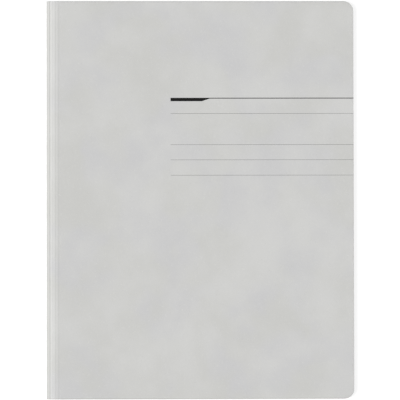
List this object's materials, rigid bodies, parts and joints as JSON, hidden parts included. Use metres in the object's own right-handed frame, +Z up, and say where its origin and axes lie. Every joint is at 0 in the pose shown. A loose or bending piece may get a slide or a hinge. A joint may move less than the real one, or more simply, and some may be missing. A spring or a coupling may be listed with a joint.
{
  "type": "flap folder",
  "caption": "Closed card folder for A4 sheets, with a multi-creased spine and top, bottom and side flaps folded in under its front cover.",
  "frame": {"origin": "middle of the closed folder's bounding box, on the surface that it lies on", "axes": "+X from the spine to the fore-edge, +Y from the bottom of the folder to its top, +Z up out of the front cover"},
  "size_m": [0.2454, 0.318, 0.0029],
  "materials": {
    "card": "matt press-finished grey card with soft cloud marbling",
    "printing_ink": "matt black and grey printed rules"
  },
  "bodies": {
    "rear": {"rear_cover": "card", "spine_fold": "card", "top_fold": "card", "bottom_fold": "card", "side_fold": "card"},
    "spine_1": {"spine_strip_1": "card"},
    "spine_2": {"spine_strip_2": "card"},
    "spine_3": {"spine_strip_3": "card"},
    "spine_4": {"spine_strip_4": "card"},
    "front": {"front_cover": "card"},
    "top_strip": {"top_gusset": "card"},
    "top": {"top_flap": "card"},
    "bottom_strip": {"bottom_gusset": "card"},
    "bottom": {"bottom_flap": "card"},
    "side_strip": {"side_gusset": "card"},
    "side": {"side_flap": "card"}
  },
  "joints": [
    {"name": "cover_turn", "type": "hinge", "parent": "rear", "child": "front", "pos_m": [-0.12226, 0, 0.00145], "axis": [0, -1, 0], "range_deg": [0, 180]},
    {"name": "spine_fold_turn", "type": "hinge", "parent": "rear", "child": "spine_1", "pos_m": [-0.1221, 0, 0.00065], "axis": [0, -1, 0], "range_deg": [0, 161]},
    {"name": "spine_crease_1", "type": "hinge", "parent": "spine_1", "child": "spine_2", "pos_m": [-0.11996, 0, 0.00181], "axis": [0, -1, 0], "range_deg": [0, 6.9]},
    {"name": "spine_crease_2", "type": "hinge", "parent": "spine_2", "child": "spine_3", "pos_m": [-0.11761, 0, 0.00231], "axis": [0, -1, 0], "range_deg": [0, 6.1]},
    {"name": "spine_crease_3", "type": "hinge", "parent": "spine_3", "child": "spine_4", "pos_m": [-0.11523, 0, 0.00257], "axis": [0, -1, 0], "range_deg": [0, 4.03]},
    {"name": "side_fold_turn", "type": "hinge", "parent": "rear", "child": "side_strip", "pos_m": [0.1197, 0, 0.00105], "axis": [0, 1, 0], "range_deg": [0, 180]},
    {"name": "side_flap_crease", "type": "hinge", "parent": "side_strip", "child": "side", "pos_m": [0.1097, 0, 0.00185], "axis": [0, -1, 0], "range_deg": [0, 85]},
    {"name": "top_fold_turn", "type": "hinge", "parent": "rear", "child": "top_strip", "pos_m": [0, 0.15735, 0.00065], "axis": [-1, 0, 0], "range_deg": [0, 180]},
    {"name": "top_flap_crease", "type": "hinge", "parent": "top_strip", "child": "top", "pos_m": [0, 0.14735, 0.00105], "axis": [1, 0, 0], "range_deg": [0, 85]},
    {"name": "bottom_fold_turn", "type": "hinge", "parent": "rear", "child": "bottom_strip", "pos_m": [0, -0.15735, 0.00065], "axis": [1, 0, 0], "range_deg": [0, 180]},
    {"name": "bottom_flap_crease", "type": "hinge", "parent": "bottom_strip", "child": "bottom", "pos_m": [0, -0.14735, 0.00105], "axis": [-1, 0, 0], "range_deg": [0, 85]}
  ],
  "couplings": [
    {"joint": "spine_fold_turn", "follows": "cover_turn", "ratio": 0.89444},
    {"joint": "spine_crease_1", "follows": "cover_turn", "ratio": 0.038174},
    {"joint": "spine_crease_2", "follows": "cover_turn", "ratio": 0.03388},
    {"joint": "spine_crease_3", "follows": "cover_turn", "ratio": 0.022353},
    {"joint": "side_fold_turn", "follows": "cover_turn", "ratio": 0.9999},
    {"joint": "side_flap_crease", "follows": "cover_turn", "ratio": 0.15},
    {"joint": "top_fold_turn", "follows": "cover_turn", "ratio": 0.5},
    {"joint": "top_flap_crease", "follows": "cover_turn", "ratio": 0.25},
    {"joint": "bottom_fold_turn", "follows": "cover_turn", "ratio": 0.5},
    {"joint": "bottom_flap_crease", "follows": "cover_turn", "ratio": 0.25}
  ]
}
